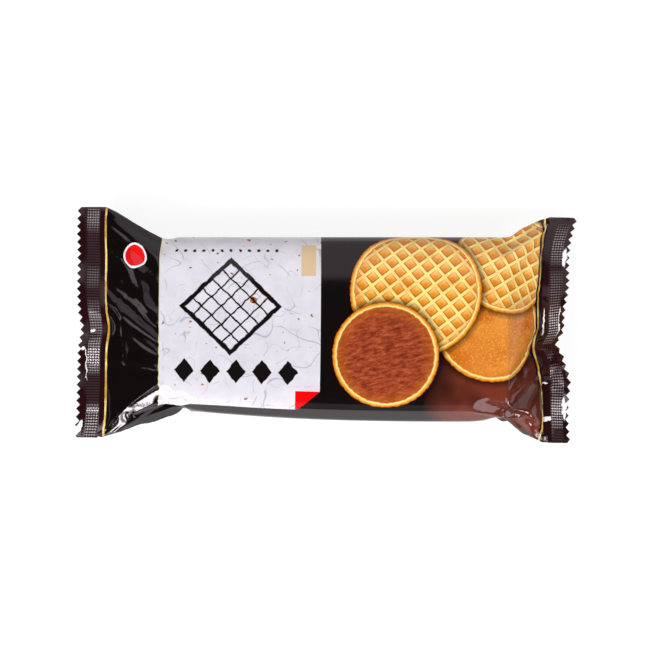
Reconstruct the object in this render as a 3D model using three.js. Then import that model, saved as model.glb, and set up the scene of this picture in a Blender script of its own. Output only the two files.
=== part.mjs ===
// A sealed flow-wrap pack for an ice cream wafer sandwich, lying on its back seam.
// Millimetres. +X runs along the pack, +Y across it and +Z up. The origin is under the middle of
// the pack, on the surface that the pack lies on.
import * as THREE from "three";

// Driving dimensions.
const flatWidth = 88.5; // the sleeve pressed flat: half of its girth
const teethPerSeal = 29;
const toothDepth = 1.4;
const sealWidth = 10.6; // from the tooth tips to where the sleeve opens
const sealThickness = 0.7;
const finWidth = 10; // the back seam, folded flat under the pack
const finThickness = 0.4;

const bodyStart = -62;
const bodyEnd = 67;
const backHalfWidth = 35.7; // from the centre line to the back
const frontHalfWidth = 35.9; // the same to the front, at the right end of the body
const frontNarrowing = 4.8; // how much less that is at the left end
const bodyHeight = 25.6;
const shoulderHeight = 12; // height at which the body is widest
const topSquareness = 4.1; // exponent of the superellipse above the shoulder: 2 is an ellipse
const frontSquareness = 6.2; // the same in front
const baseSquareness = 5.5; // the same below the shoulder

// The body starts later and ends sooner at its front corners, and reaches further at the back ones.
const startCornerLead = 10;
const endCornerLead = 3;
const startCornerLag = 3;
const endCornerLag = 7;
const cornerSpread = 9; // how far round the film that reaches

// The sides are flat and lean in, by so much for each millimetre above or below the ridge.
const ridgeHeight = 16;
const frontLean = 0.5;
const backLean = 0.1;
const backSide = 34.3;

// The end seals. `reach` is how far the tips stand from the origin, `height` and `shift` place the
// middle of the seal, and `span` is its width across. Humps bend the seal: `at` and `width` are
// measured across it, in flat millimetres, and `size` is the height of the hump.
const leftSeal = {
  outward: -1,
  reach: 93.8,
  height: 12.8,
  shift: 2.9,
  span: 88,
  lift: [
    { at: -47, width: 7, size: -3.4 },
    { at: -20, width: 11, size: -0.5 },
    { at: 2, width: 8, size: 0.6 },
    { at: 22, width: 11, size: -0.5 },
    { at: 40, width: 8, size: 0.4 },
  ],
  tilt: [
    { at: -45, width: 6, size: 0.16 },
    { at: -28, width: 12, size: 0.12 },
    { at: -3, width: 5, size: -0.14 },
    { at: 14, width: 9, size: 0.14 },
    { at: 28, width: 10, size: 0.08 },
  ],
  pullIn: [
    { at: -3, width: 5, size: 0.9 },
    { at: -46, width: 6, size: -1.4 },
    { at: 14, width: 9, size: -0.5 },
    { at: 36, width: 14, size: -0.9 },
  ],
};
const rightSeal = {
  outward: 1,
  reach: 92.2,
  height: 12.8,
  shift: 0.2,
  span: 86.6,
  lift: [
    { at: -46, width: 8, size: -1.6 },
    { at: -22, width: 9, size: 0.5 },
    { at: -8, width: 4, size: 1.6 },
    { at: 5, width: 8, size: -0.8 },
    { at: 24, width: 9, size: 0.5 },
    { at: 46, width: 6, size: -2.6 },
  ],
  tilt: [
    { at: -34, width: 14, size: -0.34 },
    { at: -16, width: 6, size: 0.52 },
    { at: -6, width: 10, size: 0.58 },
    { at: 7, width: 10, size: 0.54 },
    { at: 40, width: 7, size: -0.2 },
  ],
  pullIn: [
    { at: -28, width: 10, size: 0.2 },
    { at: -7.5, width: 3.7, size: 3.1 },
    { at: 46, width: 11, size: -4.2 },
  ],
};

// Folds in the film: valleys from one point of the film to another. A point is [x, around], where
// `around` runs over the film from 0 on the centre line of the top, towards +Y.
const folds = [
  { from: [-81, -36], to: [-60, -42], width: 2.4, depth: 1.4 },
  { from: [-80, -24], to: [-64, -34], width: 2.2, depth: 1 },
  { from: [-80, 14], to: [-66, -12], width: 2.6, depth: 0.9 },
  { from: [-80, 32], to: [-64, 12], width: 2.6, depth: 0.9 },
  { from: [-78, 38], to: [-62, 34], width: 2.6, depth: 1.2 },
  { from: [78, -8], to: [65, -24], width: 2.4, depth: 1.4 },
  { from: [78, -12], to: [67, 6], width: 2, depth: 0.8 },
  { from: [79, 20], to: [70, 30], width: 2.2, depth: 0.8 },
  { from: [78, -37], to: [66, -34], width: 2.6, depth: 1.2 },
];

// How finely the sleeve is divided.
const columns = 4 * teethPerSeal; // one at each tip and each notch, above and below
const bodyRows = 13;
const leftRampRows = 9;
const rightRampRows = 8;
const sealRows = 4;

const girth = 2 * flatWidth;
const columnIndices = Array.from({ length: columns }, (_, column) => column);

// The section of the body, starting at the middle of the top and running towards +Y.
class SleeveSection extends THREE.Curve {
  getPoint(t, target = new THREE.Vector3()) {
    const across = Math.sin(2 * Math.PI * t);
    const up = Math.cos(2 * Math.PI * t);
    const above = across < 0 ? frontSquareness : topSquareness;
    const power = 2 / (up >= 0 ? above : baseSquareness);
    const rise = up >= 0 ? bodyHeight - shoulderHeight : shoulderHeight;
    const y = backHalfWidth * Math.sign(across) * Math.abs(across) ** power;
    const z = shoulderHeight + rise * Math.sign(up) * Math.abs(up) ** power;
    return target.set(0, y, Math.max(z, finThickness));
  }
}

function sectionPoints() {
  const section = new SleeveSection();
  section.arcLengthDivisions = 4000;
  return section.getSpacedPoints(columns);
}

// Distance of a column round the film from the centre line of the top, -girth / 2 to girth / 2.
function aroundOf(column) {
  const around = (column / columns) * girth;
  return around > girth / 2 ? around - girth : around;
}

// Place of a column across the flat seal, -flatWidth / 2 to flatWidth / 2.
function acrossOf(column) {
  const around = aroundOf(column);
  const edge = girth / 4;
  return Math.abs(around) <= edge ? around : Math.sign(around) * 2 * edge - around;
}

// 1 on the upper film of a seal, -1 on the lower and 0 on its two side edges.
function sideOf(column) {
  return Math.sign(Math.round((girth / 4 - Math.abs(aroundOf(column))) * 1000));
}

function humpSum(humps, at) {
  return humps.reduce((sum, hump) => sum + hump.size * Math.exp(-(((at - hump.at) / hump.width) ** 2)), 0);
}

// Extra thickness under the film where the back seam is folded over.
function finDrop(column) {
  const fromSeam = girth / 2 - Math.abs(aroundOf(column));
  return fromSeam <= finWidth / 2 ? finThickness : 0;
}

// One ring of a seal, `inward` millimetres from the line of the tips. Odd columns are notches.
function sealRing(seal, inward, notched) {
  return columnIndices.map((column) => {
    const across = acrossOf(column);
    const notch = notched && column % 2 ? toothDepth : 0;
    const out = sealWidth - inward - notch;
    const tilt = humpSum(seal.tilt, across);
    const root = seal.reach - sealWidth - humpSum(seal.pullIn, across);
    const middle = seal.height + humpSum(seal.lift, across) + out * Math.sin(tilt);
    return new THREE.Vector3(
      seal.outward * (root + out * Math.cos(tilt)),
      seal.shift + (across * seal.span) / flatWidth,
      middle + (sideOf(column) * sealThickness) / 2 - finDrop(column),
    );
  });
}

// One ring of the body, at a share of the way from its left end to its right.
function bodyRing(section, share) {
  const width = frontHalfWidth - frontNarrowing * (1 - share) ** 3;
  return columnIndices.map((column) => {
    const { y, z } = section[column];
    const around = aroundOf(column);
    const front = Math.exp(-(((around + girth / 4) / cornerSpread) ** 2));
    const back = Math.exp(-(((around - girth / 4) / cornerSpread) ** 2));
    const start = bodyStart + startCornerLead * front - startCornerLag * back;
    const end = bodyEnd - endCornerLead * front + endCornerLag * back;
    const level = Math.abs(z - ridgeHeight);
    const wide = y < 0 ? (y * width) / backHalfWidth : y;
    return new THREE.Vector3(
      THREE.MathUtils.lerp(start, end, share),
      THREE.MathUtils.clamp(wide, frontLean * level - width, backSide - backLean * level),
      z - finDrop(column),
    );
  });
}

function blendRings(first, second, share) {
  return first.map((point, column) => point.clone().lerp(second[column], share));
}

// Distance from a point of the film to a fold, both in film coordinates.
function foldDistance(fold, x, around) {
  const start = new THREE.Vector2(...fold.from);
  const along = new THREE.Vector2(...fold.to).sub(start);
  const offset = new THREE.Vector2(x, around).sub(start);
  const share = THREE.MathUtils.clamp(offset.dot(along) / along.lengthSq(), 0, 1);
  return offset.addScaledVector(along, -share).length();
}

// Presses the folds into a ring, square to the film within the ring's own plane.
function foldRing(ring) {
  return ring.map((point, column) => {
    const next = ring[(column + 1) % columns];
    const previous = ring[(column + columns - 1) % columns];
    const outwards = new THREE.Vector3(0, previous.z - next.z, next.y - previous.y).normalize();
    const depth = folds.reduce((sum, fold) => {
      const distance = foldDistance(fold, point.x, aroundOf(column));
      return sum + fold.depth * Math.exp(-((distance / fold.width) ** 2));
    }, 0);
    return point.clone().addScaledVector(outwards, -depth);
  });
}

function spread(count, from, to) {
  return Array.from({ length: count + 1 }, (_, index) => from + ((to - from) * index) / count);
}

// All rings of the sleeve, from the left tips to the right tips.
function sleeveRings() {
  const section = sectionPoints();
  const inwards = [toothDepth + 0.8, ...spread(sealRows, toothDepth + 0.8, sealWidth).slice(1)];
  const leftRings = [sealRing(leftSeal, 0, true), ...inwards.map((inward) => sealRing(leftSeal, inward, false))];
  const rightRings = [sealRing(rightSeal, 0, true), ...inwards.map((inward) => sealRing(rightSeal, inward, false))];
  rightRings.reverse();

  const bodyRings = spread(bodyRows, 0, 1).map((share) => bodyRing(section, share));
  const leftRamp = spread(leftRampRows, 0, 1)
    .slice(1, -1)
    .map((share) => blendRings(leftRings.at(-1), bodyRings[0], share));
  const rightRamp = spread(rightRampRows, 0, 1)
    .slice(1, -1)
    .map((share) => blendRings(bodyRings.at(-1), rightRings[0], share));
  const openRings = [...leftRamp, ...bodyRings, ...rightRamp].map(foldRing);
  return [...leftRings, ...openRings, ...rightRings];
}

// Triangles of a four-cornered patch, split along its shorter diagonal.
function patchTriangles(points, a, b, c, d) {
  const acrossAC = points[a].distanceTo(points[c]);
  const acrossBD = points[b].distanceTo(points[d]);
  return acrossAC <= acrossBD ? [a, b, c, a, c, d] : [a, b, d, b, c, d];
}

// Closes the cut edge of a seal by joining each column to the one under it.
function edgeTriangles(points, offset, outward) {
  const triangles = [];
  const half = columns / 2;
  const quarter = columns / 4;
  for (let step = -quarter; step < quarter; step += 1) {
    const upper = offset + ((step + columns) % columns);
    const upperNext = offset + ((step + 1 + columns) % columns);
    const lower = offset + ((half - step + columns) % columns);
    const lowerNext = offset + ((half - step - 1 + columns) % columns);
    const loop = outward > 0 ? [upper, lower, lowerNext, upperNext] : [upper, upperNext, lowerNext, lower];
    const corners = [...new Set(loop)]; // three at the seal's side edges, where the films meet
    triangles.push(...(corners.length === 3 ? corners : patchTriangles(points, ...corners)));
  }
  return triangles;
}

function sleeveGeometry() {
  const rings = sleeveRings();
  const points = rings.flat();
  const triangles = [];
  for (let row = 0; row < rings.length - 1; row += 1) {
    for (const column of columnIndices) {
      const next = (column + 1) % columns;
      const here = row * columns;
      const beyond = here + columns;
      triangles.push(...patchTriangles(points, here + column, beyond + column, beyond + next, here + next));
    }
  }
  triangles.push(...edgeTriangles(points, 0, -1));
  triangles.push(...edgeTriangles(points, (rings.length - 1) * columns, 1));

  const geometry = new THREE.BufferGeometry().setFromPoints(points);
  geometry.setIndex(triangles);
  geometry.computeVertexNormals();
  return geometry;
}

const glossyFilm = new THREE.MeshStandardMaterial({ color: 0x1c1416, roughness: 0.22, metalness: 0 });

const filmPack = new THREE.Mesh(sleeveGeometry(), glossyFilm);
filmPack.name = "film_pack";

const pack = new THREE.Group();
pack.add(filmPack);

export default pack;
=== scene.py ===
import math

import bpy
import numpy as np
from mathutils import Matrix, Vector


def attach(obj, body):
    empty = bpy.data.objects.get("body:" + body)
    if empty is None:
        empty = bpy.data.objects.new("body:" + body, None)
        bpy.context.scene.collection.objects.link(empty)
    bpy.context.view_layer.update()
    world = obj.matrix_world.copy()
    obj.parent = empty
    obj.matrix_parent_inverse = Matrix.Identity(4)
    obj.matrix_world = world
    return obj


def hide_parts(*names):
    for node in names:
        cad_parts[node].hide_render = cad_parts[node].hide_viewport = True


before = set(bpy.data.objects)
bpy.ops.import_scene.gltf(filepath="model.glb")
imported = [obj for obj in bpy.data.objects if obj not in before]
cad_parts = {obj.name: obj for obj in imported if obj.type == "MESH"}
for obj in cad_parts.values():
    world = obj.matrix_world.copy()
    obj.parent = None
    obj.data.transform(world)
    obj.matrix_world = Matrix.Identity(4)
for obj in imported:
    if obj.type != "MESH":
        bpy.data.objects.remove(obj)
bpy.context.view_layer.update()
mm = 0.001  # the shapes are worked out in millimetres

# The sleeve of film and the bar inside it, along X; fronts face -Y.
sleeve = {
    "flatWidth": 88.5,  # pressed flat, half of the girth
    "bodyStart": -62.0,
    "bodyEnd": 67.0,
    "backHalfWidth": 35.7,
    "frontHalfWidth": 35.9,
    "frontNarrowing": 4.8,  # how much less at the left end
    "startCornerLead": 10.0,  # how much later the body starts at its front corner
    "endCornerLead": 3.0,  # and how much sooner it ends there
    "startCornerLag": 3.0,  # the same for the back corners, where it reaches further
    "endCornerLag": 7.0,
    "cornerSpread": 9.0,
    "height": 25.6,
    "shoulder": 12.0,  # height at which the body is widest
    "topSquareness": 4.1,
    "frontSquareness": 6.2,  # the same in front
    "baseSquareness": 5.5,
    "endSquareness": 40.0,  # how sharply the bar ends
    "leftSlope": 24.4,  # film between a seal and the body
    "rightSlope": 19.2,
    "ridgeHeight": 16.0,  # height at which the flattened sides stand out most
    "frontLean": 0.5,  # how far the front side leans in, for each mm above or below that
    "backLean": 0.1,
    "backSide": 34.3,
    "finWidth": 10.0,
    "finThickness": 0.4,
}
girth = 2 * sleeve["flatWidth"]
betweenSeals = sleeve["leftSlope"] + sleeve["bodyEnd"] - sleeve["bodyStart"] + sleeve["rightSlope"]

# Humps are (place across the seal, half-width, size): lifts in mm, tilts in radians, pulls in mm.
# The crimp was pressed unevenly: `pressed` is (place across, half-width, how much). It sets the crimp's
# depth, and also how strongly the crimp's painted highlights show.
sealWidth = 10.6
filmLength = betweenSeals + 2 * sealWidth
leftSeal = {
    "outward": -1,
    "reach": 93.8,
    "height": 12.8,
    "shift": 2.9,
    "span": 88.0,
    "crimpStart": 1.8,
    "lift": [(-47, 7, -3.4), (-20, 11, -0.5), (2, 8, 0.6), (22, 11, -0.5), (40, 8, 0.4)],
    "tilt": [(-45, 6, 0.16), (-28, 12, 0.12), (-3, 5, -0.14), (14, 9, 0.14), (28, 10, 0.08)],
    "pullIn": [(-3, 5, 0.9), (-46, 6, -1.4), (14, 9, -0.5), (36, 14, -0.9)],
    "pressed": [(41, 7, 0.45), (17, 5, 0.25), (0, 9, 0.35), (-13, 8, 0.9), (-39, 8, 1.0)],
}
rightSeal = {
    "outward": 1,
    "reach": 92.2,
    "height": 12.8,
    "shift": 0.2,
    "span": 86.6,
    "crimpStart": 3.0,
    "lift": [(-46, 8, -1.6), (-22, 9, 0.5), (-8, 4, 1.6), (5, 8, -0.8), (24, 9, 0.5), (46, 6, -2.6)],
    "tilt": [(-34, 14, -0.34), (-16, 6, 0.52), (-6, 10, 0.58), (7, 10, 0.54), (40, 7, -0.2)],
    "pullIn": [(-28, 10, 0.2), (-7.5, 3.7, 3.1), (46, 11, -4.2)],
    "pressed": [(33, 9, 0.6), (14, 9, 0.3), (1.5, 9, 1.0), (-22, 8, 0.4), (-32, 7, 1.0)],
}
sealDetail = {
    "filmThickness": 0.2,
    "teeth": 29,
    "toothDepth": 1.4,
    "plainInside": 1.6,  # flat strip beside the opening
    "plainRows": 2,  # rows of points from there to the crimp
    "crimpWidth": 4.8,
    "crimpRibs": 5,
    "rowsPerRib": 4,
    "ribsPerTooth": 3,  # of the ribs that run the other way
    "crimpDepth": 0.55,
    "leastDepth": 0.3,  # share of that where the crimp was hardly pressed
    "outerRows": 3,  # rows of points outside the crimp
    "outerGap": 0.1,  # from the last of them to the notches
}
toothPitch = sleeve["flatWidth"] / sealDetail["teeth"]
crossPitch = toothPitch / sealDetail["ribsPerTooth"]
ribPitch = sealDetail["crimpWidth"] / sealDetail["crimpRibs"]
crimpPoints = sealDetail["crimpRibs"] * sealDetail["rowsPerRib"]


def humps(shapes, at):
    return sum(size * np.exp(-(((at - place) / width) ** 2)) for place, width, size in shapes)


def pressedShare(seal, at):
    shares = []
    for place, width, share in seal["pressed"]:
        shares.append(share * np.clip(1 - ((at - place) / width) ** 2, 0, 1))
    return np.max(shares, axis=0)


def columnPlaces(count):
    # distance round the film from the middle of the top; -girth/2 and girth/2 meet on the back seam
    return (np.arange(count) / count - 0.5) * girth


def flatPlaces(around):
    # where a point lies across the seal once the sleeve is pressed flat
    edge = girth / 4
    return np.where(np.abs(around) <= edge, around, np.sign(around) * 2 * edge - around)


def finDrop(around):
    # the back seam lies folded along the middle of the underside
    inside = girth / 2 - np.abs(around) <= sleeve["finWidth"] / 2
    return np.where(inside, sleeve["finThickness"], 0.0)


def sealRow(seal, around, out, lift=0.0):
    # points of one line of a seal, `out` mm beyond its inner edge
    across = flatPlaces(around)
    side = np.sign(np.round(girth / 4 - np.abs(around), 6))  # upper film, lower film, or the fold
    tilt = humps(seal["tilt"], across)
    root = seal["reach"] - sealWidth - humps(seal["pullIn"], across)
    x = seal["outward"] * (root + out * np.cos(tilt) - lift * np.sin(tilt))
    y = seal["shift"] + across * seal["span"] / sleeve["flatWidth"]
    z = seal["height"] + humps(seal["lift"], across) + out * np.sin(tilt) + lift * np.cos(tilt)
    return np.stack([x, y, z + side * sealDetail["filmThickness"]], axis=-1)


def squareness(front, above):
    top = np.where(front, sleeve["frontSquareness"], sleeve["topSquareness"])
    return np.where(above, top, sleeve["baseSquareness"])


def sectionRing(around):
    # the body's section, a superellipse above and a squarer one below, spaced evenly round the film
    angle = np.linspace(-math.pi, math.pi, 6001)  # fine enough to measure along
    across, up = np.sin(angle), np.cos(angle)
    power = 2 / squareness(across < 0, up >= 0)
    rise = np.where(up >= 0, sleeve["height"] - sleeve["shoulder"], sleeve["shoulder"])
    y = sleeve["backHalfWidth"] * np.sign(across) * np.abs(across) ** power
    z = sleeve["shoulder"] + rise * np.sign(up) * np.abs(up) ** power
    z = np.maximum(z, sleeve["finThickness"])
    run = np.concatenate([[0], np.cumsum(np.hypot(np.diff(y), np.diff(z)))])
    share = (around / girth + 0.5) * run[-1]
    return np.interp(share, run, y), np.interp(share, run, z)


def frontWidth(share):
    return sleeve["frontHalfWidth"] - sleeve["frontNarrowing"] * (1 - share) ** 3


def endShift(around):
    # how far the body's two ends draw back at its corners
    spread = sleeve["cornerSpread"]
    front = humps([(-girth / 4, spread, 1.0)], around)
    back = humps([(girth / 4, spread, 1.0)], around)
    start = sleeve["startCornerLead"] * front - sleeve["startCornerLag"] * back
    return start, sleeve["endCornerLead"] * front - sleeve["endCornerLag"] * back


def bodyRow(around, share):
    y, z = sectionRing(around)
    lead, cut = endShift(around)
    start, end = sleeve["bodyStart"] + lead, sleeve["bodyEnd"] - cut
    x = start + (end - start) * share
    y = np.where(y < 0, y * frontWidth(share) / sleeve["backHalfWidth"], y)
    return np.stack([x, y, z], axis=-1)


# How the film settles. One cell is a tooth pitch at the first, coarsest stage.
settling = {
    "columns": 2 * sealDetail["teeth"],
    "leftCells": 8,
    "bodyCells": 44,
    "rightCells": 6,
    "stages": [320, 320, 300],  # steps at each fineness, the cells halved from one to the next
    "press": -0.004,  # how hard the film is drawn on to the bar, each step
    "holdStart": 2.0,  # how far within the bar's ends that begins
    "holdFade": 5.0,  # and over what distance it grows to its full strength
    "sidePress": -0.0004,  # how hard the sides of the slopes are drawn in
    "sideWidth": 13.0,
    "stiffness": 0.25,
    "carry": 0.93,  # share of its speed that the film keeps from step to step
    "shake": 0.25,
    "cling": 0.03,  # share of its distance from the bar that the film loses each step
    "depthLimits": (-2.0, 1.0),  # film further off or deeper in the bar counts as this far
    "edgeGrip": 0.3,  # share of its distance from the bar's end edges that the film there loses
    "edgeReach": 27.0,  # how far to each side of the middle the top is gripped
    "smoothing": 60,  # passes that even out the film on the body at last
    "smoothStart": 1.5,  # how far within the bar's ends they begin
    "filmGap": 0.3,
    "seed": 5,
}


def spanRows(cells, fineness, first, last):
    shares = np.arange(cells * fineness + 1) / (cells * fineness)
    return [first * (1 - share) + last * share for share in shares]


def roughSleeve(fineness):
    # straight film from seal to seal over the body, before it settles
    around = columnPlaces(settling["columns"] * fineness)
    inner = np.linspace(sealDetail["plainInside"], 0, fineness + 1)
    left = [sealRow(leftSeal, around, out) for out in inner]
    right = [sealRow(rightSeal, around, out) for out in inner[::-1]]
    bodyCells = settling["bodyCells"] * fineness
    body = [bodyRow(around, share) for share in np.arange(bodyCells + 1) / bodyCells]
    leftSlope = spanRows(settling["leftCells"], fineness, left[-1], body[0])[1:-1]
    rightSlope = spanRows(settling["rightCells"], fineness, body[-1], right[0])[1:-1]
    return np.array(left + leftSlope + body + rightSlope + right)


def rowSpacing(fineness):
    # rest lengths between neighbouring rows
    edge = np.full(fineness, sealDetail["plainInside"] / fineness)
    stretches = [
        (settling["leftCells"], sleeve["leftSlope"]),
        (settling["bodyCells"], sleeve["bodyEnd"] - sleeve["bodyStart"]),
        (settling["rightCells"], sleeve["rightSlope"]),
    ]
    spans = [np.full(cells * fineness, length / (cells * fineness)) for cells, length in stretches]
    return np.concatenate([edge, *spans, edge])


def rowPlaces(spacing):
    return np.concatenate([[0], np.cumsum(spacing)])


def depthInside(spacing, around):
    # how far each point of the film lies within the body's ends
    places = rowPlaces(spacing)[:, None]
    lead, cut = endShift(around)
    fromStart = places - sleeve["leftSlope"] - lead
    return np.minimum(fromStart, places[-1] - sleeve["rightSlope"] - cut - places)


def outwardNormals(points):
    along = np.gradient(points, axis=0)
    sideways = np.roll(points, -1, axis=1) - np.roll(points, 1, axis=1)
    normals = np.cross(along, sideways)
    return normals / (np.sqrt((normals * normals).sum(axis=-1, keepdims=True)) + 1e-9)


def drawTogether(first, second, rest, share):
    # how far the first of two points moves towards the second to bring them to their rest distance
    gap = second - first
    length = np.sqrt((gap * gap).sum(axis=-1, keepdims=True)) + 1e-9
    return gap * (0.5 * share * (length - rest) / length)


def tieRows(points, rest, rowStep, columnStep, shares):
    # pairs of points rowStep rows apart, in batches that have no point in common
    period = 2 * rowStep
    for start in range(period):
        second = points[start + rowStep :: period]
        first = points[start::period][: len(second)]
        lengths = rest[start::period][: len(second), None, None]
        share = shares[start::period][: len(second), None, None]
        if columnStep:
            move = drawTogether(first, np.roll(second, -columnStep, axis=1), lengths, share)
            first += move
            second -= np.roll(move, columnStep, axis=1)
        else:
            move = drawTogether(first, second, lengths, share)
            first += move
            second -= move


def tieColumns(points, rest, columnStep, share):
    count = points.shape[1]
    for start in range(2 * columnStep):
        first = np.arange(start, count, 2 * columnStep)
        second = (first + columnStep) % count
        move = drawTogether(points[:, first], points[:, second], rest, share)
        points[:, first] += move
        points[:, second] -= move


def keepToBar(points, hold, start, end):
    # pushes film that has sunk into the frozen bar back out, and draws the rest of it nearer
    middle, halfLength = (start + end) / 2, (end - start) / 2
    share = np.clip((points[..., 0] - start) / (end - start), 0, 1)
    front = points[..., 1] < 0
    width = np.where(front, frontWidth(share), sleeve["backHalfWidth"])
    shoulder = sleeve["shoulder"]
    above = points[..., 2] >= shoulder
    tall = np.where(above, sleeve["height"] - shoulder, shoulder - sleeve["finThickness"])
    power = squareness(front, above)
    sizes = np.stack([np.broadcast_to(halfLength, width.shape), width, tall], axis=-1)
    powers = np.stack([np.full_like(power, sleeve["endSquareness"]), power, power], axis=-1)
    fromMiddle = np.stack([points[..., 0] - middle, points[..., 1], points[..., 2] - shoulder], axis=-1)
    place = fromMiddle / sizes
    level = (np.abs(place) ** powers).sum(axis=-1)
    slope = powers * np.abs(place) ** (powers - 1) * np.sign(place) / sizes
    steep = np.sqrt((slope * slope).sum(axis=-1)) + 1e-6
    depth = np.clip((1 - level) / steep, *settling["depthLimits"])
    depth = np.where(depth < 0, depth * settling["cling"] * hold, depth)
    points += slope * (depth / steep)[..., None]


def pinnedRows(points, fineness):
    return np.r_[0 : fineness + 1, len(points) - fineness - 1 : len(points)]


def settle(points, rest, fineness, steps):
    columns = points.shape[1]
    restAround = girth / columns
    pinned = pinnedRows(points, fineness)
    held = points[pinned].copy()
    around = columnPlaces(columns)
    top = np.nonzero(np.abs(around) < girth / 4 - restAround / 2)[0]
    under = (columns // 2 - top) % columns
    slanted = np.hypot(rest, restAround)
    doubled = rest[:-1] + rest[1:]
    whole = np.ones(len(rest))
    stiffness = np.full(len(doubled), settling["stiffness"])
    stiffness[[fineness - 1, -fineness]] = 0  # the film turns freely where it leaves a seal
    hold = np.clip((depthInside(rest, around) - settling["holdStart"]) / settling["holdFade"], 0, 1)
    lead, cut = endShift(around)
    side = humps([(girth / 4, settling["sideWidth"], 1.0)], np.abs(around))
    pressure = (settling["press"] * hold + settling["sidePress"] * (1 - hold) * side)[..., None] / fineness
    gripped = np.nonzero(np.abs(around) < settling["edgeReach"])[0]
    edges = []
    startRow = (settling["leftCells"] + 1) * fineness
    endRow = -(settling["rightCells"] + 1) * fineness - 1
    for row, share in ((startRow, 0), (endRow, 1)):
        edges.append((row, bodyRow(around, share)[gripped]))
    speed = np.zeros_like(points)
    for _ in range(steps):
        before = points.copy()
        points += speed * settling["carry"]
        points += outwardNormals(points) * pressure
        tieRows(points, rest, 1, 0, whole)
        tieColumns(points, restAround, 1, 1.0)
        tieRows(points, slanted, 1, 1, whole / 2)
        tieRows(points, slanted, 1, -1, whole / 2)
        tieRows(points, doubled, 2, 0, stiffness)
        tieColumns(points, 2 * restAround, 2, settling["stiffness"])
        keepToBar(points, hold, sleeve["bodyStart"] + lead, sleeve["bodyEnd"] - cut)
        for row, edge in edges:
            points[row, gripped] += (edge - points[row, gripped]) * settling["edgeGrip"]
        points[..., 2] = np.maximum(points[..., 2], sleeve["finThickness"])
        lack = settling["filmGap"] - (points[:, top, 2] - points[:, under, 2])
        push = np.maximum(lack, 0) / 2
        points[:, top, 2] += push
        points[:, under, 2] -= push
        points[pinned] = held
        speed = points - before
    return points


def halveCells(points):
    # twice the rows and columns, the new points on smooth curves through the old
    rows, columns, _ = points.shape
    ends = np.concatenate([2 * points[:1] - points[1:2], points, 2 * points[-1:] - points[-2:-1]])
    taller = np.empty((2 * rows - 1, columns, 3))
    taller[::2] = points
    taller[1::2] = (9 * (ends[1:-2] + ends[2:-1]) - ends[:-3] - ends[3:]) / 16
    wider = np.empty((2 * rows - 1, 2 * columns, 3))
    wider[:, ::2] = taller
    near = taller + np.roll(taller, -1, axis=1)
    far = np.roll(taller, 1, axis=1) + np.roll(taller, -2, axis=1)
    wider[:, 1::2] = (9 * near - far) / 16
    return wider


def settledSleeve():
    draws = np.random.default_rng(settling["seed"])
    stages = settling["stages"]
    points = roughSleeve(1)
    for stage, steps in enumerate(stages):
        fineness = 2**stage
        if stage:
            points = halveCells(points)
        exact = roughSleeve(fineness)
        pinned = pinnedRows(points, fineness)
        points += draws.normal(size=points.shape) * settling["shake"] / fineness
        points[pinned] = exact[pinned]
        points = settle(points, rowSpacing(fineness), fineness, steps)
        print("film settled at", points.shape[:2], "rows and columns")
    spacing = rowSpacing(fineness)
    return smoothed(points, spacing), spacing


def smoothed(points, spacing):
    # evens out the film where the bar backs it, more and more so away from the bar's ends
    inside = depthInside(spacing, columnPlaces(points.shape[1])) - settling["smoothStart"]
    share = np.clip(inside / settling["holdFade"], 0, 1)[..., None] / 2
    for _ in range(settling["smoothing"]):
        sideways = (np.roll(points, 1, axis=1) + np.roll(points, -1, axis=1)) / 2
        points = points + (sideways - points) * share
        lengthways = points.copy()
        lengthways[1:-1] = (points[:-2] + points[2:]) / 2
        points = points + (lengthways - points) * share
    return points


def flattenSides(points, spacing):
    # the sides of the bar are flat and lean in above and below their widest line
    inside = depthInside(spacing, columnPlaces(points.shape[1]))
    share = np.clip(inside / settling["holdFade"], 0, 1)
    start, end = sleeve["bodyStart"], sleeve["bodyEnd"]
    lengthShare = np.clip((points[..., 0] - start) / (end - start), 0, 1)
    level = np.abs(points[..., 2] - sleeve["ridgeHeight"])
    front = frontWidth(lengthShare) - sleeve["frontLean"] * level
    back = sleeve["backSide"] - sleeve["backLean"] * level
    y = points[..., 1]
    flat = points.copy()
    flat[..., 1] = y + (np.clip(y, -front, back) - y) * share
    return flat


# Places on the film are (along, around): mm along it from its middle, and mm round it from the
# middle of the top towards the back.

# Folds that were pressed flat. Along a line on the film, the film is cut back to a plane, and hollows
# of some depth under it are filled. A fold is (ends of the line, how far to each side of it, over
# what distance that fades, the plane's normal, a point on the plane, depth that is filled).
pressedFolds = [
    (((-80, -50), (-60, -50)), 12.0, 4.0, (0.35, -0.8, 0.5), (-66, -33.8, 11), 0.0),
    (((-80, -44), (-60, -42)), 9.0, 4.0, (0.28, -0.61, 0.74), (-66, -33.0, 12.4), 0.0),
    (((-75, -38.2), (-61, -31)), 6.0, 1.6, (-0.22, -0.436, 0.873), (-72, -31.5, 16.9), 0.6),
    (((-87, -44.5), (-77, -39.5)), 1.8, 0.8, (-0.22, -0.436, 0.873), (-72, -31.5, 16.9), 1.0),
    (((-60, -33), (-54, -31)), 4.0, 2.0, (-0.05, -0.45, 0.89), (-56.5, -26.3, 22.8), 2.0),
    (((-80, 44), (-66, 44)), 12.0, 6.0, (0.53, 0.84, 0.1), (-70, 39.0, 12), 0.0),
    (((78, -54), (78, -32)), 8.0, 4.0, (0.26, -0.5, 0.826), (73.2, -33.6, 20.4), 0.0),
    (((58, -31), (67, -34)), 4.5, 1.5, (0.12, -0.42, 0.9), (64, -32.0, 22.1), 0.5),
    (((69, -34.5), (85, -43.5)), 3.5, 1.0, (0.389, -0.425, 0.817), (69.9, -34.7, 20.7), 0.6),
]


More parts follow.
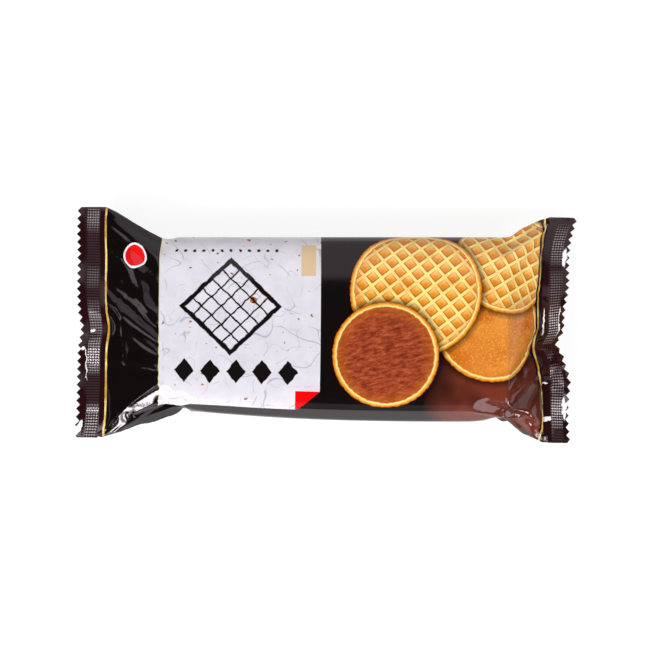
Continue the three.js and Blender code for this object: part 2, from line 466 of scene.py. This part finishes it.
def besideLine(film, line):
    # each place's share of the way along a line on the film, and its distance from the line
    start, end = np.array(line, dtype=float)
    way = end - start
    share = ((film - start) @ way) / (way @ way)
    nearest = start + np.clip(share, 0, 1)[..., None] * way
    return share, np.linalg.norm(film - nearest, axis=-1)


def pressFolds(points, film):
    for line, halfWidth, fade, normal, through, fill in pressedFolds:
        normal = np.array(normal) / np.linalg.norm(normal)
        distance = besideLine(film, line)[1]
        share = np.clip((halfWidth - distance) / fade, 0, 1)
        height = np.clip((points - through) @ normal, -fill, None)
        points = points - normal * (height * share)[..., None]
    return points


# Small creases that the settling is too coarse for. Each is a straight V in the film. A patch of
# them is (middle, scatter, count, length from and to, half-width, depth).
creases = {
    "seed": 11,
    "turn": 0.6,  # how far they turn from the pack's length, in radians
    "leastShare": 0.3,  # of the given depth
    "edgeFade": 2.0,  # none within this distance of the seals
    "patches": [
        ((-78, 0), (7, 46), 46, (5, 15), 1.7, 0.13),
        ((80, 0), (6, 46), 36, (4, 10), 1.7, 0.24),
        ((-72, -37), (12, 5), 24, (3, 8), 1.6, 0.12),
        ((82, -4), (4, 9), 12, (3, 7), 1.6, 0.4),
        ((72, -35), (8, 7), 22, (4, 10), 1.6, 0.26),
    ],
    # a ridge, or a valley, is (start, end, half-width, height)
    "ridges": [
        ((-77, 32), (-64, -2), 4.0, 0.9),
        ((-81, 12), (-76, -22), 1.4, 0.4),
        ((-76, -35), (-73, -41), 0.9, -0.5),
        ((-74, -35.5), (-70, -40.5), 0.9, -0.5),
    ],
}


def creased(points, film):
    draws = np.random.default_rng(creases["seed"])
    height = np.zeros(points.shape[:2])
    for middle, scatter, count, lengths, width, deepest in creases["patches"]:
        for _ in range(count):
            offset = film - (np.array(middle) + draws.uniform(-1, 1, 2) * scatter)
            turn = draws.normal() * creases["turn"]
            reach = draws.uniform(*lengths) / 2
            depth = draws.uniform(creases["leastShare"], 1) * deepest * draws.choice([-1, 1])
            forward = offset[..., 0] * math.cos(turn) + offset[..., 1] * math.sin(turn)
            aside = offset[..., 1] * math.cos(turn) - offset[..., 0] * math.sin(turn)
            fade = np.clip(1 - (forward / reach) ** 2, 0, 1)
            height += depth * fade * np.clip(1 - np.abs(aside) / width, 0, 1)
    for start, end, width, rise in creases["ridges"]:
        share, aside = besideLine(film, (start, end))
        height += rise * np.clip(4 * share * (1 - share), 0, 1) * np.clip(1 - aside / width, 0, 1)
    height *= np.clip((betweenSeals / 2 - np.abs(film[..., 0])) / creases["edgeFade"], 0, 1)
    return points + outwardNormals(points) * height[..., None]


def sealRows(seal, around):
    # the crimped and toothed part of a seal, from the plain strip out to the cut edge
    detail = sealDetail
    crimpStart = seal["crimpStart"]
    toothStart = sealWidth - detail["toothDepth"]
    inside = np.linspace(detail["plainInside"], crimpStart, detail["plainRows"] + 1)[1:]
    crimped = crimpStart + np.arange(1, crimpPoints + 1) * ribPitch / detail["rowsPerRib"]
    outside = np.linspace(crimped[-1], toothStart - detail["outerGap"], detail["outerRows"] + 1)[1:]
    across = flatPlaces(around)
    fromSide = across + sleeve["flatWidth"] / 2
    crossRibs = np.abs(2 * (fromSide / crossPitch % 1) - 1)
    least = detail["leastDepth"]
    depth = detail["crimpDepth"] * (least + (1 - least) * pressedShare(seal, across))
    rows, outs = [], []
    for out in [*inside, *crimped, *outside]:
        ribs = abs(2 * ((out - crimpStart) / ribPitch % 1) - 1)
        relief = depth * ((crossRibs + ribs) / 2 - 0.5) * (out in crimped)
        rows.append(sealRow(seal, around, out, relief))
        outs.append(np.full_like(around, out))
    notch = np.abs(2 * ((fromSide / toothPitch + 0.5) % 1) - 1)  # 0 at the notches, 1 at the tips
    for share in (1 / 3, 2 / 3, 1):
        out = toothStart + share * detail["toothDepth"] * notch
        rows.append(sealRow(seal, around, out))
        outs.append(out)
    return np.array(rows), np.array(outs)


def sealBlock(seal, around):
    grid, outs = sealRows(seal, around)
    grid[..., 2] -= finDrop(around)
    places = seal["outward"] * (betweenSeals / 2 + outs)
    order = seal["outward"]  # rows run from left to right
    return grid[::order], places[::order], around


def skinBlocks():
    # the left seal, the sleeve and the right seal: points, their places along the film and the
    # places of their columns round it
    body, spacing = settledSleeve()
    coarse = columnPlaces(body.shape[1])
    fine = columnPlaces(3 * body.shape[1])
    bodyPlaces = rowPlaces(spacing)
    bodyPlaces = bodyPlaces - bodyPlaces[-1] / 2
    film = np.stack(np.meshgrid(bodyPlaces, coarse, indexing="ij"), axis=-1)
    body = creased(pressFolds(flattenSides(body, spacing), film), film)
    body = body + outwardNormals(body) * finDrop(coarse)[None, :, None]
    return [sealBlock(leftSeal, fine), (body, film[..., 0], coarse), sealBlock(rightSeal, fine)]


def packMesh():
    # one closed skin; a corner of a face is named by its block, row and column
    blocks = skinBlocks()
    points, faces, starts = [], [], []
    filmPlaces = []  # of each face's corners
    faceted = []  # whether a face is one of the crimp's flat facets
    for grid, _, _ in blocks:
        starts.append(len(points))
        points.extend(grid.reshape(-1, 3).tolist())

    def placeOf(block, row, column):
        _, places, around = blocks[block]
        return (places[row, column % len(around)], around[0] + column * girth / len(around))

    def indexOf(block, row, column):
        columns = len(blocks[block][2])
        return starts[block] + row * columns + column % columns

    def addFace(loop, flat=False):
        faces.append([indexOf(*corner) for corner in loop])
        filmPlaces.extend(placeOf(*corner) for corner in loop)
        faceted.append(flat)

    for block, (grid, _, around) in enumerate(blocks):
        for row in range(len(grid) - 1):
            fromInside = row if block == 2 else len(grid) - 2 - row
            crimpRow = fromInside - sealDetail["plainRows"]
            flat = block != 1 and 0 <= crimpRow < crimpPoints - 1
            for column in range(len(around)):
                square = [(row, column), (row + 1, column), (row + 1, column + 1), (row, column + 1)]
                addFace([(block, *corner) for corner in square], flat)
    lastLeft, lastBody, lastRight = [len(grid) - 1 for grid, _, _ in blocks]
    for column in range(len(blocks[1][2])):
        # three fine columns meet one coarse column on the plain strip
        left = [(0, lastLeft, 3 * column + step) for step in range(4)]
        right = [(2, 0, 3 * column + step) for step in range(4)]
        addFace([left[0], (1, 0, column), (1, 0, column + 1), left[3], left[2], left[1]])
        addFace([(1, lastBody, column), *right, (1, lastBody, column + 1)])
    quarter = len(blocks[0][2]) // 4
    for block, row, turned in ((0, 0, False), (2, lastRight, True)):
        # the cut edges are closed between the upper and the lower film
        for column in range(quarter, 3 * quarter):
            mirrored = 2 * quarter - column
            loop = [(block, row, spot) for spot in (column, column + 1, mirrored - 1, mirrored)]
            names = [indexOf(*corner) for corner in loop]
            loop = [corner for spot, corner in enumerate(loop) if names[spot] not in names[:spot]]
            addFace(loop[::-1] if turned else loop)

    mesh = bpy.data.meshes.new("filmPack")
    mesh.from_pydata((np.array(points) * mm).tolist(), [], faces)
    unfolded = np.array(filmPlaces) / (filmLength, girth) + 0.5
    layer = mesh.uv_layers.new(name="OFBake")
    layer.data.foreach_set("uv", unfolded.astype(np.float32).ravel())
    mesh.polygons.foreach_set("use_smooth", ~np.array(faceted))
    mesh.update()
    print("film mesh:", len(mesh.vertices), "points,", len(mesh.polygons), "faces")
    return mesh


class Value:
    # one socket of a shader; arithmetic on it adds Math nodes
    def __init__(self, tree, socket):
        self.tree = tree
        self.socket = socket

    def node(self, kind, settings=None, inputs=None, output=0):
        made = self.tree.nodes.new(kind)
        for name, setting in (settings or {}).items():
            if name == "stops":
                stops = made.color_ramp.elements
                while len(stops) < len(setting):
                    stops.new(0.5)
                for stop, (position, colour) in zip(stops, setting):
                    stop.position = position
                    stop.color = colour
            else:
                setattr(made, name, setting)
        for name, given in (inputs or {}).items():
            if isinstance(given, Value):
                self.tree.links.new(given.socket, made.inputs[name])
            else:
                made.inputs[name].default_value = given
        return Value(self.tree, made.outputs[output])

    def maths(self, operation, *values):
        return self.node("ShaderNodeMath", {"operation": operation}, dict(enumerate(values)))

    def __add__(self, other):
        return self.maths("ADD", self, other)

    def __radd__(self, other):
        return self.maths("ADD", other, self)

    def __sub__(self, other):
        return self.maths("SUBTRACT", self, other)

    def __rsub__(self, other):
        return self.maths("SUBTRACT", other, self)

    def __mul__(self, other):
        return self.maths("MULTIPLY", self, other)

    def __rmul__(self, other):
        return self.maths("MULTIPLY", other, self)

    def __truediv__(self, other):
        return self.maths("DIVIDE", self, other)

    def __pow__(self, other):
        return self.maths("POWER", self, other)

    def least(self, other):
        return self.maths("MINIMUM", self, other)

    def most(self, other):
        return self.maths("MAXIMUM", self, other)

    def size(self):
        return self.maths("ABSOLUTE", self)

    def fromLine(self, pitch):
        # distance from the nearest of many lines at an equal pitch
        return self.maths("PINGPONG", self, pitch / 2)

    def fraction(self):
        return self.maths("FRACT", self)

    def below(self, edge, soft):
        # 1 where the value is under the edge, with a narrow blend
        return self.above(edge, -soft)

    def above(self, edge, soft):
        inputs = {"Value": self, "From Min": edge - soft, "From Max": edge + soft}
        return self.node("ShaderNodeMapRange", {"clamp": True}, inputs)

    def between(self, low, high, soft):
        return self.above(low, soft) * self.below(high, soft)

    def ramp(self, *stops):
        return self.node("ShaderNodeValToRGB", {"stops": stops}, {0: self})

    def others(self, *outputs):
        # more outputs of the node that the value comes from
        return [Value(self.tree, self.socket.node.outputs[output]) for output in outputs]

    # the rest is for places, in mm over the film
    def parts(self, count=2):
        return self.node("ShaderNodeSeparateXYZ", {}, {0: self}).others(*range(count))

    def distance(self, spot):
        inputs = {0: self, 1: (*spot, 0)}
        return self.node("ShaderNodeVectorMath", {"operation": "DISTANCE"}, inputs, output=1)

    def turned(self, middle, degrees=0.0, stretch=(1, 1)):
        # the same place as seen from a middle, on turned and stretched axes
        inputs = {
            "Vector": self,
            "Location": (*middle, 0),
            "Rotation": (0, 0, math.radians(degrees)),
            "Scale": (*stretch, 1),
        }
        return self.node("ShaderNodeMapping", {"vector_type": "TEXTURE"}, inputs)

    def noise(self, scale, detail=2.0, roughness=0.5, output=0):
        inputs = {"Vector": self, "Scale": scale, "Detail": detail, "Roughness": roughness}
        return self.node("ShaderNodeTexNoise", {"noise_dimensions": "2D"}, inputs, output)

    def wobbled(self, scale, amount):
        # shifts the place this way and that, so that what is drawn on it has uneven edges
        offset = self.noise(scale, output=1)
        offset = self.node("ShaderNodeVectorMath", {"operation": "SUBTRACT"}, {0: offset, 1: (0.5, 0.5, 0.5)})
        inputs = {0: offset, 1: (amount, amount, 0), 2: self}
        return self.node("ShaderNodeVectorMath", {"operation": "MULTIPLY_ADD"}, inputs)


def ink(red, green, blue):
    # a printed colour, given as the 0 to 255 that a screen shows
    def linear(part):
        part /= 255
        return part / 12.92 if part <= 0.04045 else ((part + 0.055) / 1.055) ** 2.4

    return (linear(red), linear(green), linear(blue), 1.0)


def layOver(under, over, mask):
    return mask.node("ShaderNodeMix", {"data_type": "RGBA"}, {0: mask, 6: under, 7: over}, output=2)


# The print: fields of colour and plain shapes at their places on the film.
prints = {
    "black": ink(15, 11, 11),
    "seal": ink(36, 13, 15),
    "gold": ink(200, 148, 52),
    # a painted highlight on the gold lines
    "goldHighlight": ink(250, 224, 138),
    "goldHighlightPatches": (0.16, 0.5, 0.12),  # scale of the painted highlight patches, and where they begin
    "goldLines": (-86.3, 84.7),  # outer edges
    "goldLineWidth": 0.8,
    "pictureGap": 0.9,  # black between the picture and the right line
    "pictureSides": (-44, 44),
    "crispness": 0.06,
    "sheen": (1.0, 0.9, 0.96, 1.0),
    "roughness": (0.07, 0.12),  # from the smoothest to the dullest places
}
panel = {
    "ends": (-62.1, -2.0),
    "sides": (-33.4, 38.0),
    "droop": (-50.0, 0.35),  # left of here the front edge runs down by so much per mm
    "paper": ink(221, 218, 226),
    "paperShade": ink(208, 204, 214),
    "mottle": (0.12, 4.0, 0.6),  # scale, detail and roughness
    "leftLine": ink(222, 208, 160),
    "leftLineWidth": 0.4,
    "fibre": ink(150, 147, 154),
    "fibres": [(0.045, 0), (0.06, 40), (0.035, 90), (0.08, 160)],  # scale of the curls and shift
    "fibreLine": 0.003,
    "fibreInk": 0.75,
    "flecks": [(0.075, 0.0, 0.1), (0.2, 70.0, 0.09)],  # scale, shift and largest radius in cells
    "fleckWobble": (0.7, 1.6),
    "fleckDark": ink(92, 40, 20),
    "fleckPale": ink(214, 130, 52),
    "cornerStart": -11.1,
    "cornerTop": -25.0,
    "corner": ink(250, 6, 10),
    "label": ((-9.3, -3.8), (18.6, 31.4)),
    "labelColour": ink(213, 184, 143),
}
inkDrawing = {
    "colour": ink(20, 16, 16),
    "wobble": (0.35, 0.9),  # scale and amount, as of a brush
    "soft": 0.12,
    "wafer": (-35.4, 6.8),
    "waferHalf": 12.6,
    "outline": 0.85,
    "lattice": 5.04,
    "latticeLine": 0.32,
    "diamondRow": (-52.3, -18.2),
    "diamondPitch": 9.6,
    "diamondHalf": (3.7, 4.6),
    "diamondCount": 5,
    "dotRow": (-55.9, 28.8),
    "dotPitch": 3.4,
    "dotRadius": 0.62,
    "dotCount": 12,
}
roundel = {
    "middle": (-72.6, 26.0),
    "radius": 5.0,
    "rim": 0.8,
    "colour": ink(226, 22, 26),
    "rimColour": ink(238, 236, 238),
}
# Round wafers, from the one at the back to the one in front.
wafers = [  # kind, middle, radius and turn
    ("plain", (66.0, -30.0), 24.0, 0),
    ("smooth", (62.0, 1.0), 22.0, 24),
    ("lattice", (69.0, 25.5), 21.0, 30),
    ("lattice", (33.4, 13.0), 24.6, 38),
    ("cream", (22.2, -11.0), 19.8, 16),
]
waferLooks = {
    "uneven": (0.6, 0.7),  # scale and amount of the unevenness of their edges
    "rimWidth": 1.9,
    "edgeSoft": 0.15,
    "plainSoft": 6.0,  # the plain one fades out into the black
    "shadowWidth": 1.3,
    "shadowInk": 0.85,
    "browning": (4.0, 2.4, 0.45),  # how far from the edge it begins, its fade and strength
    "pitch": 4.7,  # of the lattice
    "pocketEdge": 0.76,  # where a pocket's side ends, from 0 in its middle to 1 on a rib
    "litSides": (1.35, 0.4),
    "darkSides": (0.75, 0.3),
    "sideInk": 0.7,
    "toastPatches": (0.09, 4.0, 0.6),  # scale, detail and roughness, as for the next two
    "crumbs": (1.1, 5.0, 0.8),
    "streaks": (0.8, 8.0, 0.75),
    "streakLength": 3.2,
    "floor": ink(232, 140, 28),
    "deep": ink(176, 84, 12),
    "wall": ink(244, 168, 56),
    "rib": ink(255, 232, 150),
    "glow": ink(255, 220, 118),
    "toast": ink(200, 106, 24),
    "smooth": ink(230, 148, 60),
    "smoothDark": ink(200, 100, 20),
    "chocolate": ink(150, 62, 36),
    "chocolateDark": ink(104, 38, 22),
    "chocolatePale": ink(184, 94, 60),
    "plain": ink(112, 50, 34),
    "plainDark": ink(40, 14, 12),
    "shadow": ink(22, 8, 6),
}


def drawnPaper(film, along):
    # fibrous paper with flecks of wafer in it
    shade = film.noise(*panel["mottle"])
    colour = layOver(panel["paper"], panel["paperShade"], shade.above(0.55, 0.25))
    for scale, shift in panel["fibres"]:
        place = film.turned((shift, -shift))
        curl = (place.noise(scale, 1.0, 0.4) - 0.5).size()
        line = curl.below(panel["fibreLine"], panel["fibreLine"])
        kept = place.noise(scale * 2.5, 0.0).above(0.53, 0.04)
        colour = layOver(colour, panel["fibre"], line * kept * panel["fibreInk"])
    for scale, shift, largest in panel["flecks"]:
        place = film.turned((shift, shift)).wobbled(*panel["fleckWobble"])
        inputs = {"Vector": place, "Scale": scale, "Randomness": 1.0}
        cell = place.node("ShaderNodeTexVoronoi", {"voronoi_dimensions": "2D"}, inputs)
        chance = cell.others("Color")[0].parts()[0]
        fleck = (chance.above(0.8, 0.2) * largest - cell).above(0.0, 0.006)
        tint = layOver(panel["fleckDark"], panel["fleckPale"], place.noise(0.9, 3.0).above(0.5, 0.1))
        colour = layOver(colour, tint, fleck)
    line = along.below(panel["ends"][0] + panel["leftLineWidth"], prints["crispness"])
    return layOver(colour, panel["leftLine"], line)


def inked(colour, film):
    # a wafer, a row of diamonds and a row of dots, drawn with a brush
    looks = inkDrawing
    soft = looks["soft"]
    brushed = film.wobbled(*looks["wobble"])
    a, b = brushed.turned(looks["wafer"], 45).parts()
    reach = a.size().most(b.size())
    outline = (reach - looks["waferHalf"]).size().below(looks["outline"], soft)
    half = looks["lattice"] / 2
    lines = (a + half).fromLine(2 * half).least((b + half).fromLine(2 * half))
    lattice = lines.below(looks["latticeLine"], soft) * reach.below(looks["waferHalf"], soft)
    x, y = brushed.turned(looks["diamondRow"]).parts()
    pitch, (wide, tall) = looks["diamondPitch"], looks["diamondHalf"]
    inRow = x.between(-pitch / 2, (looks["diamondCount"] - 0.5) * pitch, soft)
    diamonds = (x.fromLine(pitch) / wide + y.size() / tall).below(1.0, soft / wide) * inRow
    x, y = brushed.turned(looks["dotRow"]).parts()
    pitch = looks["dotPitch"]
    inRow = x.between(-pitch / 2, (looks["dotCount"] - 0.5) * pitch, soft)
    dots = (x.fromLine(pitch) ** 2 + y * y).below(looks["dotRadius"] ** 2, soft) * inRow
    return layOver(colour, looks["colour"], outline.most(lattice).most(diamonds).most(dots))


def latticeFace(local):
    looks, pitch = waferLooks, waferLooks["pitch"]
    a, b = local.parts()
    across = a.fromLine(pitch).most(b.fromLine(pitch)) * (2 / pitch)  # 0 mid-pocket, 1 on a rib
    stops = [(0.0, looks["floor"]), (0.5, looks["wall"]), (0.72, looks["deep"]), (0.82, looks["rib"])]
    colour = across.ramp(*stops, (1.0, looks["glow"]))
    lit = (a / pitch + 0.5).fraction() + (b / pitch + 0.5).fraction()
    sides = across.below(looks["pocketEdge"], 0.05) * looks["sideInk"]
    colour = layOver(colour, looks["rib"], lit.above(*looks["litSides"]) * sides)
    colour = layOver(colour, looks["deep"], lit.below(*looks["darkSides"]) * sides)
    return layOver(colour, looks["toast"], local.noise(*looks["toastPatches"]).above(0.62, 0.12) * 0.5)


def smoothFace(local):
    looks = waferLooks
    colour = layOver(looks["smooth"], looks["smoothDark"], local.noise(0.07, 3.0).above(0.52, 0.2))
    return layOver(colour, looks["glow"], local.noise(*looks["crumbs"]).above(0.6, 0.08) * 0.45)


def creamFace(local):
    looks = waferLooks
    streaks = local.turned((0, 0), 0, (looks["streakLength"], 1.0)).noise(*looks["streaks"])
    stops = [(0.34, looks["chocolateDark"]), (0.5, looks["chocolate"]), (0.66, looks["chocolatePale"])]
    return streaks.ramp(*stops)


def plainFace(local):
    looks = waferLooks
    return layOver(looks["plainDark"], looks["plain"], local.noise(0.05, 2.0).above(0.45, 0.2))


def waferPicture(colour, film):
    looks = waferLooks
    faces = {"plain": plainFace, "smooth": smoothFace, "lattice": latticeFace, "cream": creamFace}
    rimColours = [(0.0, looks["deep"]), (0.25, looks["rib"]), (0.55, looks["wall"]), (1.0, looks["deep"])]
    scale, amount = looks["uneven"]
    for kind, middle, radius, turn in wafers:
        local = film.turned(middle, turn)
        distance = local.distance((0, 0)) + (local.noise(scale) - 0.5) * amount
        face = faces[kind](local)
        if kind == "plain":
            colour = layOver(colour, face, distance.below(radius, looks["plainSoft"]))
            continue
        shadow = distance.below(radius + looks["shadowWidth"], looks["shadowWidth"])
        colour = layOver(colour, looks["shadow"], shadow * looks["shadowInk"])
        begins, fade, strength = looks["browning"]
        face = layOver(face, looks["toast"], distance.above(radius - begins, fade) * strength)
        rimStart = radius - looks["rimWidth"]
        rim = ((distance - rimStart) / looks["rimWidth"]).ramp(*rimColours)
        face = layOver(face, rim, distance.above(rimStart, 0.1))
        colour = layOver(colour, face, distance.below(radius, looks["edgeSoft"]))
    return colour


# Painted highlights on the crimp: pale ridges and tips stand in for glints of light on its facets. They are
# stronger where the crimp was pressed harder.
crimpHighlights = {
    "colour": ink(226, 216, 220),
    "ridge": 0.1,  # half-width of a painted highlight along a ridge
    "ridgeSoft": 0.1,
    "ridgeHighlight": 0.5,
    "tip": 0.24,  # radius of a painted highlight on a tip
    "tipSoft": 0.06,
    "start": 0.3,  # distance from the crimp's inner edge
}

# Painted highlights: pale spots on the seals that stand in for glints of light off their folds. Each is a
# middle, half-lengths and turn.
sealGlints = {
    "colour": ink(246, 242, 246),
    "unevenness": (0.45, 1.6),  # scale and amount
    "soft": 0.12,
    "spots": [
        ((94.9, -31.0), (0.9, 4.3), 3),
        ((94.9, 27.5), (0.8, 3.6), -5),
        ((87.4, -35.2), (2.4, 0.9), 20),
        ((86.9, -21.6), (1.1, 0.35), 0),
        ((87.2, 2.4), (0.35, 5.2), -4),
        ((94.2, 1.6), (0.3, 6.0), 0),
        ((-95.4, -40.8), (0.9, 2.8), -20),
        ((-93.4, -16.5), (0.2, 6.0), 2),
        ((-94.5, -10.4), (0.9, 0.7), 0),
        ((-91.9, -3.4), (0.8, 0.5), 30),
    ],
}

# Fine crinkles where the film hangs free.
slopeFilm = {"start": 64.0, "fade": 3.0, "depth": 0.05, "scale": 0.35}  # start is mm from the middle


def paintedCrimpHighlights(colour, along, around):
    # pale ridges and tips painted on the crimp as highlights, for glints off its facets
    looks = crimpHighlights
    crossRibs = (around + girth / 4).fromLine(crossPitch)
    ridges = crossRibs.below(looks["ridge"], looks["ridgeSoft"]) * looks["ridgeHighlight"]
    for seal in (leftSeal, rightSeal):
        out = along * seal["outward"] - (betweenSeals / 2 + seal["crimpStart"])
        ribs = out.fromLine(ribPitch)
        tips = (crossRibs * crossRibs + ribs * ribs).below(looks["tip"] ** 2, looks["tipSoft"])
        marks = ridges.most(tips) * out.between(looks["start"], sealDetail["crimpWidth"], 0.2)
        amount = along * 0
        for place, width, share in seal["pressed"]:
            amount = amount.most((1 - ((around - place) / width) ** 2).most(0) * share)
        colour = layOver(colour, looks["colour"], marks * amount)
    return colour


def paintedSealGlints(colour, film):
    # pale spots painted on the seals as highlights, for glints off their folds
    looks = sealGlints
    uneven = film.wobbled(*looks["unevenness"])
    for middle, halfLengths, turn in looks["spots"]:
        spot = uneven.turned(middle, turn, halfLengths).distance((0, 0)).below(1.0, looks["soft"])
        colour = layOver(colour, looks["colour"], spot)
    return colour


def goldLines(colour, film, along):
    left, right = prints["goldLines"]
    width, crisp = prints["goldLineWidth"], prints["crispness"]
    scale, start, fade = prints["goldHighlightPatches"]
    # paler patches on the gold lines are painted highlights
    gold = layOver(prints["gold"], prints["goldHighlight"], film.noise(scale).above(start, fade))
    lines = along.between(left, left + width, crisp).most(along.between(right - width, right, crisp))
    return layOver(colour, gold, lines)


def foldedCorner(paper, along, around):
    # the panel's front right corner shows a red back
    crisp = prints["crispness"]
    start, top, front = panel["cornerStart"], panel["cornerTop"], panel["sides"][0]
    rise = (top - front) / (panel["ends"][1] - start)
    turnedUp = (around - (along - start) * rise).above(front, crisp)
    corner = along.above(start, crisp) * around.below(top, crisp)
    return layOver(paper, layOver(prints["black"], panel["corner"], turnedUp), corner)


def paperPanel(colour, film, along, around):
    crisp = prints["crispness"]
    paper = inked(drawnPaper(film, along), film)
    ends, sides = panel["label"]
    label = along.between(*ends, crisp) * around.between(*sides, crisp)
    paper = layOver(paper, panel["labelColour"], label)
    paper = foldedCorner(paper, along, around)
    front, back = panel["sides"]
    droopStart, droopSlope = panel["droop"]
    drooped = around + (droopStart - along).most(0) * droopSlope
    onPanel = along.between(*panel["ends"], crisp) * drooped.above(front, crisp) * around.below(back, crisp)
    return layOver(colour, paper, onPanel)


def printedFilm():
    material = bpy.data.materials.new("printedFilm")
    material.use_nodes = True
    tree = material.node_tree
    shader = tree.nodes["Principled BSDF"]
    unfolded = Value(tree, shader.outputs[0]).node("ShaderNodeUVMap", {"uv_map": "OFBake"})
    inputs = {0: unfolded, 1: (filmLength, girth, 0), 2: (-filmLength / 2, -girth / 2, 0)}
    film = unfolded.node("ShaderNodeVectorMath", {"operation": "MULTIPLY_ADD"}, inputs)
    along, around = film.parts()
    crisp = prints["crispness"]

    lineStart, lineEnd = prints["goldLines"]
    colour = layOver(prints["seal"], prints["black"], along.between(lineStart, lineEnd, crisp))
    # painted highlights on the crimp and on the seals
    colour = paintedSealGlints(paintedCrimpHighlights(colour, along, around), film)
    pictureEnd = lineEnd - prints["goldLineWidth"] - prints["pictureGap"]
    inPicture = along.between(panel["ends"][1], pictureEnd, crisp)
    inPicture = inPicture * around.between(*prints["pictureSides"], 1.0)
    colour = layOver(colour, waferPicture(prints["black"], film), inPicture)
    colour = goldLines(colour, film, along)
    colour = paperPanel(colour, film, along, around)
    radius = film.distance(roundel["middle"])
    colour = layOver(colour, roundel["rimColour"], radius.below(roundel["radius"], crisp))
    colour = layOver(colour, roundel["colour"], radius.below(roundel["radius"] - roundel["rim"], crisp))
    tree.links.new(colour.socket, shader.inputs["Base Color"])
    shader.inputs["Specular Tint"].default_value = prints["sheen"]

    smoothest, dullest = prints["roughness"]
    roughness = film.noise(0.3, 3.0).above(0.5, 0.3) * (dullest - smoothest) + smoothest
    tree.links.new(roughness.socket, shader.inputs["Roughness"])
    slopesEnd = betweenSeals / 2 + sealDetail["plainInside"]
    onSlopes = along.size().between(slopeFilm["start"], slopesEnd, slopeFilm["fade"])
    height = film.noise(slopeFilm["scale"], 3.0) * onSlopes
    inputs = {"Strength": 1.0, "Distance": slopeFilm["depth"] * mm, "Height": height}
    crinkles = film.node("ShaderNodeBump", {}, inputs)
    tree.links.new(crinkles.socket, shader.inputs["Normal"])
    return material


mesh = packMesh()
filmPack = bpy.data.objects.new("filmPack", mesh)
bpy.context.collection.objects.link(filmPack)
mesh.materials.append(printedFilm())
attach(filmPack, "root")
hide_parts("film_pack")
print("film pack made")

# A pale table in a studio that is dark overhead, with large soft lights round it. A light covers
# two stretches of degrees from overhead, towards the back and towards the right; its strength is last.
studio = {
    "floor": ink(140, 140, 140),
    "floorSize": 6.0,  # metres
    "floorGlow": 0.84,  # the table is lit from below as well
    "dim": 0.015,
    "softEdge": 0.8,
    "lights": {
        "back": ((16, 62), (-50, 60), 0.8),
        "lowBack": ((62, 92), (-60, 60), 0.8),
        "front": ((-80, -40), (-14, 20), 0.45),
        "leftKey": ((-60, -33), (-54, -16), 6.2),
        "leftSpot": ((-54, -38), (-43, -24), 22.0),
        "rightKey": ((-60, -46), (50, 64), 18.0),
        "frontRight": ((-46, -24), (8, 42), 4.0),
        "left": ((-30, 30), (-42, -20), 0.6),
        "right": ((10, 60), (36, 76), 0.4),
    },
}
far = studio["floorSize"] / 2
floorMesh = bpy.data.meshes.new("floor")
floorMesh.from_pydata([(-far, -far, 0), (far, -far, 0), (far, far, 0), (-far, far, 0)], [], [(0, 1, 2, 3)])
floor = bpy.data.objects.new("floor", floorMesh)
bpy.context.collection.objects.link(floor)
floorFinish = bpy.data.materials.new("paleTable")
floorFinish.use_nodes = True
floorShader = floorFinish.node_tree.nodes["Principled BSDF"].inputs
floorShader["Base Color"].default_value = studio["floor"]
floorShader["Roughness"].default_value = 0.9
floorShader["Emission Color"].default_value = (1, 1, 1, 1)
floorShader["Emission Strength"].default_value = studio["floorGlow"]
floorMesh.materials.append(floorFinish)


def lightStudio():
    world = bpy.data.worlds.new("studio")
    bpy.context.scene.world = world
    world.use_nodes = True
    tree = world.node_tree
    background = tree.nodes["Background"]
    direction = Value(tree, background.outputs[0]).node("ShaderNodeTexCoord")
    right, back, up = direction.parts(3)
    rightwards = right.maths("ARCTAN2", right, up) * math.degrees(1)
    backwards = back.maths("ARCTAN2", back, up) * math.degrees(1)
    strength = up * 0 + studio["dim"]
    soft = studio["softEdge"]
    for towardsBack, towardsRight, brightness in studio["lights"].values():
        mask = backwards.between(*towardsBack, soft) * rightwards.between(*towardsRight, soft)
        strength = strength + mask * (brightness - studio["dim"])
    tree.links.new(strength.socket, background.inputs["Strength"])
    background.inputs["Color"].default_value = (1, 1, 1, 1)


lightStudio()

view = {
    "elevation": 81.0,
    "lens": 120.0,
    "sensor": 36.0,
    "pixels": 650,
    "clipStart": 0.05,
    "mmPerPixel": 0.378,
    "packPixel": (326, 329),  # where the middle of the pack stands in the picture
    "packHeight": 12.0,  # the height at which that middle is taken
}
camera = bpy.data.objects.new("camera", bpy.data.cameras.new("camera"))
bpy.context.collection.objects.link(camera)
camera.data.lens = view["lens"]
camera.data.sensor_width = view["sensor"]
camera.data.clip_start = view["clipStart"]
tiltAngle = math.radians(view["elevation"])
towards = Vector((0, -math.cos(tiltAngle), math.sin(tiltAngle)))
upwards = Vector((0, math.sin(tiltAngle), math.cos(tiltAngle)))
pixel = view["mmPerPixel"] * mm
packRight, packDown = view["packPixel"]
offset = Vector((1, 0, 0)) * (view["pixels"] / 2 - packRight) + upwards * (packDown - view["pixels"] / 2)
aim = Vector((0, 0, view["packHeight"] * mm)) + offset * pixel
distance = view["pixels"] * pixel * view["lens"] / view["sensor"]
camera.location = aim + towards * distance
camera.rotation_euler = (-towards).to_track_quat("-Z", "Y").to_euler()
bpy.context.scene.camera = camera
bpy.context.scene.view_settings.view_transform = "Standard"
print("studio ready")
